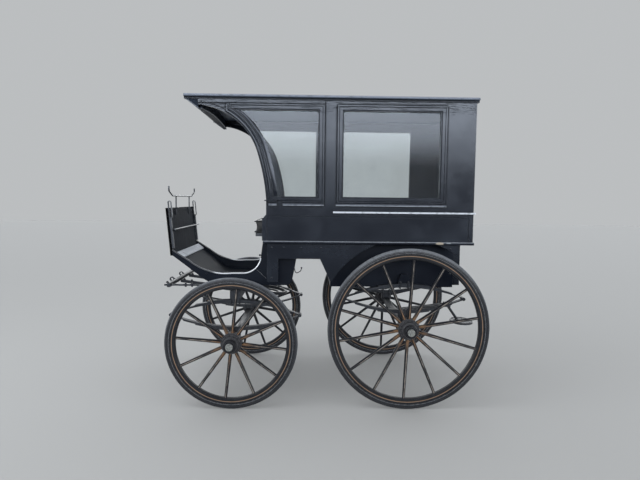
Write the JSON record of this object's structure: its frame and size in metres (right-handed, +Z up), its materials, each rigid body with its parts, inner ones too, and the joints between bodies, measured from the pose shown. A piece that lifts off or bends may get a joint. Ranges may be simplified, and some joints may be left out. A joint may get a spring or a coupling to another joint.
{
  "type": "horse-drawn carriage",
  "caption": "Closed horse-drawn carriage with a covered driving seat, elliptic springs, a turning forecarriage, spoked wheels with rubber tyres and a rear door with a step.",
  "frame": {"origin": "on the ground below the middle of the carriage's bounding box", "axes": "+X to the rear, away from the horse; +Y to the side with the rear door's hinges; +Z up"},
  "size_m": [2.5849, 1.6, 2.3297],
  "materials": {
    "body_paint": "satin blue-black coach paint on wood, worn at the edges",
    "inner_wood": "dull dark paint on boards, scuffed",
    "black_iron": "black painted iron, dusty",
    "bright_iron": "worn iron with bare patches",
    "tyre": "dusty grey-black rubber",
    "wheel_wood": "black paint on ash, rubbed through to brown wood",
    "nave_iron": "black painted hub with a dull metal cap",
    "glass": "clear window glass",
    "seat_leather": "black leather cushion"
  },
  "bodies": {
    "carriage": {"bench_cushions": "seat_leather", "bench_seats": "inner_wood", "boot_floor": "inner_wood", "boot_riser": "inner_wood", "boot_sides": "body_paint", "cabin_box": "body_paint", "cabin_floor": "inner_wood", "canopy_header": "body_paint", "dash_irons": "bright_iron", "dashboard": "body_paint", "door_case": "body_paint", "door_hinges": "bright_iron", "driver_cushion": "seat_leather", "driver_seat": "inner_wood", "left_side_wall": "body_paint", "lower_panels": "body_paint", "rear_axle": "black_iron", "rear_spring_brackets": "black_iron", "rear_springs_lower": "black_iron", "rear_springs_upper": "black_iron", "rear_step": "black_iron", "rear_wall": "body_paint", "right_side_wall": "body_paint", "roof": "body_paint", "seat_back": "inner_wood", "seat_platform": "inner_wood", "side_window_glass": "glass", "toe_board": "inner_wood", "upper_fifth_wheel": "black_iron", "waist_frame": "body_paint"},
    "forecarriage": {"front_axle": "black_iron", "front_springs_lower": "black_iron", "front_springs_upper": "black_iron", "futchell_loop": "black_iron", "lower_bed": "black_iron", "lower_fifth_wheel": "black_iron", "shaft_irons": "black_iron", "splinter_bar": "black_iron"},
    "rear_door": {"door_handle": "bright_iron", "rear_door": "body_paint", "rear_door_glass": "glass"},
    "front_left_wheel": {"front_left_nave": "nave_iron", "front_left_rim": "wheel_wood", "front_left_spokes": "wheel_wood", "front_left_tyre": "tyre"},
    "front_right_wheel": {"front_right_nave": "nave_iron", "front_right_rim": "wheel_wood", "front_right_spokes": "wheel_wood", "front_right_tyre": "tyre"},
    "rear_left_wheel": {"rear_left_nave": "nave_iron", "rear_left_rim": "wheel_wood", "rear_left_spokes": "wheel_wood", "rear_left_tyre": "tyre"},
    "rear_right_wheel": {"rear_right_nave": "nave_iron", "rear_right_rim": "wheel_wood", "rear_right_spokes": "wheel_wood", "rear_right_tyre": "tyre"}
  },
  "joints": [
    {"name": "steer", "type": "hinge", "parent": "carriage", "child": "forecarriage", "pos_m": [-0.7075, 0, 0.84], "axis": [0, 0, 1], "range_deg": [-40, 40]},
    {"name": "front_left_spin", "type": "hinge", "parent": "forecarriage", "child": "front_left_wheel", "pos_m": [-0.7075, -0.69, 0.49], "axis": [0, 1, 0], "continuous": true},
    {"name": "front_right_spin", "type": "hinge", "parent": "forecarriage", "child": "front_right_wheel", "pos_m": [-0.7075, 0.69, 0.49], "axis": [0, 1, 0], "continuous": true},
    {"name": "rear_left_spin", "type": "hinge", "parent": "carriage", "child": "rear_left_wheel", "pos_m": [0.6025, -0.69, 0.602], "axis": [0, 1, 0], "continuous": true},
    {"name": "rear_right_spin", "type": "hinge", "parent": "carriage", "child": "rear_right_wheel", "pos_m": [0.6025, 0.69, 0.602], "axis": [0, 1, 0], "continuous": true},
    {"name": "door_swing", "type": "hinge", "parent": "carriage", "child": "rear_door", "pos_m": [1.0945, 0.2785, 1.5], "axis": [0, 0, 1], "range_deg": [0, 105]}
  ]
}
